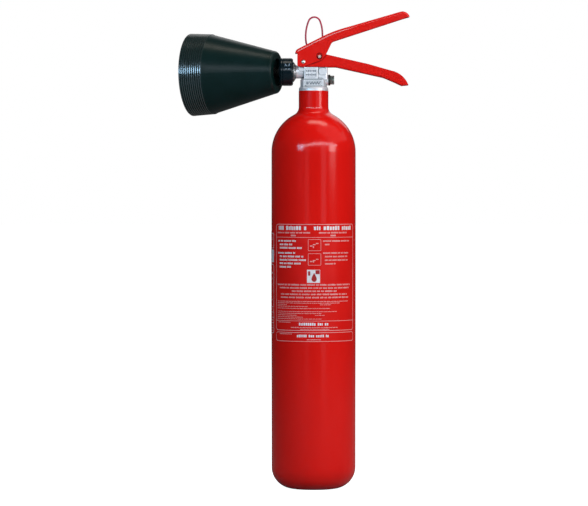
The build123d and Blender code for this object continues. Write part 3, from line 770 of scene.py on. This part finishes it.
def neck_marks(materials):
    """A row of small stamped marks round the foot of the neck, coloured light as a painted glint on
    them.
    """
    row_z = 461.4

    def on_neck(across, up, out):
        return on_wall(across / NECK_R, up * MM, (NECK_R + out) * MM)

    def build(bm):
        for x in (-8.6, -6.8, -4.8, -2.4, -0.4, 3.6, 5.4, 7.0):
            raised(bm, leaning_bar(x, row_z, RNG.uniform(0.9, 1.5), 0.9), on_neck, 0.25)

    add_piece("neck_marks", "body", materials["highlight_enamel"], build)


def collar_marks(materials):
    """Five small moulded marks on the collar, above its middle, coloured lighter than the collar as a
    painted highlight.
    """
    # Each mark is (across, up, width, height, lean) in mm, with up along the collar's round.
    marks = (
        (-34.2, 8.2, 1.0, 3.0, 0.8),
        (-32.4, 7.6, 1.0, 1.8, 0.0),
        (-29.6, 8.4, 1.2, 3.4, 1.0),
        (-33.4, 3.2, 2.6, 0.8, 0.0),
        (-29.8, 3.2, 2.6, 0.8, 0.0),
    )

    def on_collar(across, up, out):
        angle = up / COLLAR_R
        radius = COLLAR_R + out
        return Vector((across, -radius * math.cos(angle), OUTLET_Z + radius * math.sin(angle))) * MM

    def build(bm):
        for mark in marks:
            raised(bm, leaning_bar(*mark), on_collar, 0.2)

    add_piece("collar_marks", "body", materials["collar_mark_highlight"], build)


def lever_bend_highlight(materials):
    """A painted highlight along the bend of the lever: a fine light line that fades past the knee."""
    # Each point is (across, up, width of the line) in mm.
    path = (
        (-19.3, 529.4, 1.0),
        (-17.6, 530.3, 1.4),
        (9.0, 543.8, 1.4),
        (16.0, 547.1, 1.35),
        (24.0, 550.4, 1.3),
        (34.0, 553.9, 1.0),
        (50.0, 558.8, 0.3),
    )
    # The line's own shape: (part of the width up, mm out of the lever's side).
    section = ((-0.5, -0.1), (0.5, -0.1), (0.25, 0.08), (-0.25, 0.08))

    def build(bm):
        for side in (-1, 1):
            loops = []
            for x, z, width in path:
                points = [(x, side * (LEVER_SIDE + out), z + up * width) for up, out in section]
                loops.append([bm.verts.new(Vector(point) * MM) for point in points])
            closed_skin(bm, loops)

    add_piece("lever_bend_highlight", "lever", materials["highlight_enamel"], build)


def spring_coil(materials):
    """The valve's spring as a coil of wire, in place of the CAD's spring."""
    low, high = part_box("valve_spring")
    middle = (low + high) / 2
    wire_r = 0.6 * MM
    coil_r = (high.x - low.x) / 2 - wire_r
    start = low.z + wire_r
    end = high.z - wire_r
    turns = 7
    steps = 32  # in a turn
    sides = 10  # of the wire

    def build(bm):
        loops = []
        for i in range(turns * steps + 1):
            way = i / (turns * steps)
            turn = 2 * math.pi * turns * way
            loop = []
            for k in range(sides):
                around = 2 * math.pi * k / sides
                radius = coil_r + wire_r * math.cos(around)
                height = start + (end - start) * way + wire_r * math.sin(around)
                point = (middle.x + radius * math.cos(turn), middle.y + radius * math.sin(turn), height)
                loop.append(bm.verts.new(point))
            loops.append(loop)
        closed_skin(bm, loops)

    coil = add_piece("spring_coil", "body", materials["spring_steel"], build)
    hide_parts("valve_spring")
    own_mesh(coil)


# ---------------------------------------------------------------- labels


def make_film(name, angles, heights, replaced, materials):
    """The label's own film, a little thicker than the CAD's so that it covers the wall's facets.

    heights are in mm.
    """
    low, high = heights

    def build(bm):
        columns = rounded_columns(angles, (low * MM, high * MM), FILM_CORNER * MM)
        strip(bm, columns, FILM_FOOT_R, FILM_R)

    film = add_piece(name, "body", materials["label_film"], build)
    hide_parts(replaced)


def front_lines(bm):
    """The outlines of both panels and of the picture boxes, and two thin lines across."""
    edge = seen(*PANEL)
    outline(bm, edge, (193.4 * MM, 321.3 * MM), 4.0 * MM, 0.7 * MM)
    outline(bm, edge, (180.4 * MM, 191.5 * MM), 3.5 * MM, 0.6 * MM)
    for height in (305.4, 205.2):
        bar(bm, edge, ((height - 0.25) * MM, (height + 0.25) * MM))
    for low, high in ((289.3, 303.1), (271.9, 286.2)):
        outline(bm, seen(-6.9, 8.7), (low * MM, high * MM), 1.0 * MM, 0.45 * MM)


def front_bold_rows(bm):
    """The title, the two steps of the left column, two headings and the symbol's white square."""
    print_rows(bm, ((316.6, 4.8, -41.8, -5.7), (316.6, 4.8, 0.2, 44.9)))
    for top, rights in (
        (FIRST_STEP_Z, (-21.3, -23.7, -14.1)),
        (SECOND_STEP_Z, (-21.3, -11.7, -9.0, -15.4, -26.1)),
    ):
        print_block(bm, top, 4.2, 2.1, paragraph(LEFT_STEP, LEFT_STEP_REST, rights))
    print_rows(bm, ((201.4, 3.3, -17.7, 19.5), (187.2, 3.0, -20.1, 19.5)))
    bar(bm, seen(-8.1, 7.5), (251.0 * MM, 266.6 * MM))


def front_soft_rows(bm):
    """The smaller print."""
    # The lines and small marks under the title.
    print_rows(bm, ((311.0, 1.7, PRINT_LEFT, -3.3), (311.0, 1.7, 6.2, 39.4)))
    print_rows(bm, ((307.6, 1.9, -27.3, -21.3), (307.6, 1.9, 20.1, 26.6)))
    # Two steps in the right column.
    for top, pitch, rights in (
        (FIRST_STEP_Z, 4.2, (42.5, 18.8)),
        (SECOND_STEP_Z, 4.3, (42.5, 40.1, 41.3, 26.6)),
    ):
        print_block(bm, top, pitch, 1.7, paragraph(RIGHT_STEP, RIGHT_STEP_REST, rights))
    # The notice, in larger print above and fine print below.
    notice = ((PRINT_LEFT, 43.7), (-40.6, 42.5), (-26.1, 27.9), (-39.3, 40.1), (-39.3, 41.3))
    print_block(bm, 248.6, 3.8, 1.8, notice)
    for top, pitch, rights in (
        (228.6, 2.0, (41.3, 31.5, -32.0, -7.0)),
        (220.2, 2.0, (19.5,)),
        (216.4, 2.2, (27.9, 9.8, -20.1, -12.9, 9.8)),
    ):
        print_block(bm, top, pitch, FINE_PRINT, paragraph(PRINT_LEFT, PRINT_LEFT, rights))
    print_rows(bm, ((224.6, FINE_PRINT, 7.4, 20.7), (212.0, FINE_PRINT, 1.4, 13.4)))
    # The foot of the first panel, and the second panel.
    foot = (
        (203.4, FINE_PRINT, -41.8, -27.3),
        (197.3, 1.0, -27.3, 29.1),
        (195.2, FINE_PRINT, -16.5, 19.5),
        (189.4, FINE_PRINT, -40.6, -26.1),
        (182.8, 1.0, -8.2, 8.6),
    )
    print_rows(bm, foot)


def front_pictures(bm):
    """A rising row of three strokes and a short upright one in each picture box."""
    for low, rises in ((291.0, (3.6, 5.2, 6.6)), (273.6, (2.4, 3.6, 5.0))):
        for step, rise in enumerate(rises):
            left = -4.6 + step * 3.6
            bar(bm, seen(left, left + 3.0), ((low + rise) * MM, (low + rise + 1.1) * MM))
        bar(bm, seen(-1.0, 0.2), ((low + 1.8) * MM, (low + 3.8) * MM))


def front_symbol(bm):
    """A drop, in slices, and two small blocks on the white square, in plain red."""
    foot = 252.2
    tall = 10.4
    slices = 12
    middle = 0.4
    widest = 4.0
    for i in range(slices):
        way = (i + 0.5) / slices
        half = widest * math.sqrt(math.sin(math.pi * way)) * (1.15 - 0.9 * way)
        low = (foot + tall * i / slices) * MM
        heights = (low, low + tall / slices * MM)
        bar(bm, seen(middle - half, middle + half), heights, PRINT_R, OVERPRINT_R)
    for left, right, low, high in ((2.0, 7.0, 261.4, 266.2), (-6.8, -4.2, 259.6, 264.8)):
        bar(bm, seen(left, right), (low * MM, high * MM), PRINT_R, OVERPRINT_R)


def front_label(materials):
    """Two outlined panels with a title, two columns, two picture boxes and small print."""
    make_film("front_label_film", seen(*FRONT_SHEET), FRONT_HEIGHTS, "front_label", materials)
    for name, ink, build in (
        ("front_label_lines", "label_soft_ink", front_lines),
        ("front_label_bold_rows", "label_ink", front_bold_rows),
        ("front_label_soft_rows", "label_soft_ink", front_soft_rows),
        ("front_label_pictures", "label_soft_ink", front_pictures),
        ("front_label_symbol", "label_dark_ink", front_symbol),
    ):
        add_piece(name, "body", materials[ink], build)


def on_side(left, right):
    """Wall angles at two distances, in mm along the side label, from its middle."""
    return SIDE_MIDDLE + left * MM / WALL_R, SIDE_MIDDLE + right * MM / WALL_R


def side_lines(bm):
    """The heading's box, a solid block, and a panel with a table at its foot."""
    panel = on_side(*SIDE_PANEL)
    outline(bm, panel, (291.6 * MM, 310.2 * MM), 2.5 * MM, 0.7 * MM)
    bar(bm, panel, (274.7 * MM, 290.0 * MM))
    outline(bm, panel, (TABLE_FOOT * MM, 272.6 * MM), 2.5 * MM, 0.6 * MM)
    half_line = 0.15
    for row in range(1, 6):
        height = (TABLE_FOOT + row * TABLE_PITCH) * MM
        bar(bm, panel, (height - half_line * MM, height + half_line * MM))
    for column in (-20.0, 0.0, 20.0):
        bar(bm, on_side(column - half_line, column + half_line), (TABLE_FOOT * MM, TABLE_TOP * MM))


def side_rows(bm):
    """The heading, rows of print below it, and short rows in the table."""
    mark_row(bm, on_side(-30.0, 30.0), 303.8 * MM, 4.4 * MM)
    mark_row(bm, on_side(-24.0, 24.0), 296.6 * MM, 2.2 * MM)
    for row in range(13):
        height = (269.0 - row * 3.6) * MM
        mark_row(bm, on_side(-34.5, RNG.uniform(18.0, 34.5)), height, 1.5 * MM)
    for row in range(5):
        height = (TABLE_FOOT + TABLE_PITCH / 2 + row * TABLE_PITCH) * MM
        for left in (-35.5, -18.5, 1.5, 21.5):
            mark_row(bm, on_side(left, left + RNG.uniform(6.0, 13.0)), height, 1.8 * MM)


def side_dark_rows(bm):
    """Three rows of dark words on the solid block."""
    words = 9
    half_height = 0.9 * MM
    for row in range(3):
        height = (286.6 - row * 4.4) * MM
        start, end = on_side(-33.0, RNG.uniform(20.0, 33.0))
        for i in range(words):
            first = start + (end - start) * i / words
            last = start + (end - start) * (i + RNG.uniform(0.55, 0.9)) / words
            bar(bm, (first, last), (height - half_height, height + half_height), PRINT_R, OVERPRINT_R)


def side_label(materials):
    """The second sheet, on the left and back: a heading's box, a white block and rows."""
    half = wall_angle(SIDE_HALF_WIDTH * MM)
    sheet = (SIDE_MIDDLE - half, SIDE_MIDDLE + half)
    make_film("side_label_film", sheet, SIDE_HEIGHTS, "side_label", materials)
    for name, ink, build in (
        ("side_label_lines", "label_ink", side_lines),
        ("side_label_rows", "label_soft_ink", side_rows),
        ("side_label_dark_rows", "label_dark_ink", side_dark_rows),
    ):
        add_piece(name, "body", materials[ink], build)


# ---------------------------------------------------------------- camera, floor and light


def set_camera():
    """Almost level and square on to the front, with plain colours in the picture."""
    data = bpy.data.cameras.new("camera")
    data.lens = LENS
    data.sensor_width = SENSOR
    data.clip_end = FAR_LIMIT
    camera = bpy.data.objects.new("camera", data)
    camera.location = CAMERA_PLACE
    camera.rotation_euler = (math.radians(90 - CAMERA_DIP), 0, 0)
    bpy.context.collection.objects.link(camera)
    bpy.context.scene.camera = camera
    bpy.context.scene.view_settings.view_transform = "Standard"


def show_and_light(tree, shown, lighting, output):
    """The camera sees one shader, and the object is lit and mirrored by the other."""
    path = tree.nodes.new("ShaderNodeLightPath")
    inputs = {0: path.outputs["Is Camera Ray"], 1: lighting.outputs[0], 2: shown.outputs[0]}
    choice = add_node(tree, "ShaderNodeMixShader", inputs)
    tree.links.new(choice.outputs[0], tree.nodes[output].inputs["Surface"])


def lay_floor():
    """A plain floor that looks white and throws little light back up."""
    bpy.ops.mesh.primitive_plane_add(size=40.0, location=(0, 0, 0))
    floor = bpy.context.object
    floor.name = "floor"
    material = bpy.data.materials.new("pale_floor")
    material.use_nodes = True
    tree = material.node_tree
    shown = tree.nodes["Principled BSDF"]
    inputs = {
        "Base Color": (0.9, 0.9, 0.9, 1),
        "Roughness": 0.9,
        "Specular IOR Level": 0.0,
        "Emission Color": (1, 1, 1, 1),
        "Emission Strength": 1.0,
    }
    set_inputs(tree, shown, inputs)
    dim = add_node(tree, "ShaderNodeBsdfDiffuse", {"Color": (0.30, 0.30, 0.30, 1)})
    show_and_light(tree, shown, dim, "Material Output")
    floor.data.materials.append(material)


def set_surround():
    """A surround that looks white and gives only a faint even light."""
    world = bpy.data.worlds.new("studio")
    world.use_nodes = True
    tree = world.node_tree
    faint = tree.nodes["Background"]
    set_inputs(tree, faint, {"Color": (0.95, 0.97, 1.0, 1), "Strength": 0.05})
    shown = add_node(tree, "ShaderNodeBackground", {"Color": (1, 1, 1, 1), "Strength": 1.0})
    show_and_light(tree, shown, faint, "World Output")
    bpy.context.scene.world = world


def add_lamp(name, place, aim, size, watts, colour):
    """A soft rectangular lamp aimed at a point."""
    data = bpy.data.lights.new(name, "AREA")
    data.shape = "RECTANGLE"
    data.size, data.size_y = size
    data.energy = watts
    data.color = colour
    lamp = bpy.data.objects.new(name, data)
    lamp.location = place
    direction = Vector(aim) - Vector(place)
    lamp.rotation_mode = "QUATERNION"
    lamp.rotation_quaternion = direction.to_track_quat("-Z", "Y")
    bpy.context.collection.objects.link(lamp)


materials = {name: surface(name, **finish) for name, finish in FINISHES.items()}
dress_nodes(materials)
valve_marks(materials)
neck_marks(materials)
collar_marks(materials)
lever_bend_highlight(materials)
spring_coil(materials)
front_label(materials)
side_label(materials)
set_camera()
lay_floor()
set_surround()
for lamp in LAMPS:
    add_lamp(*lamp)
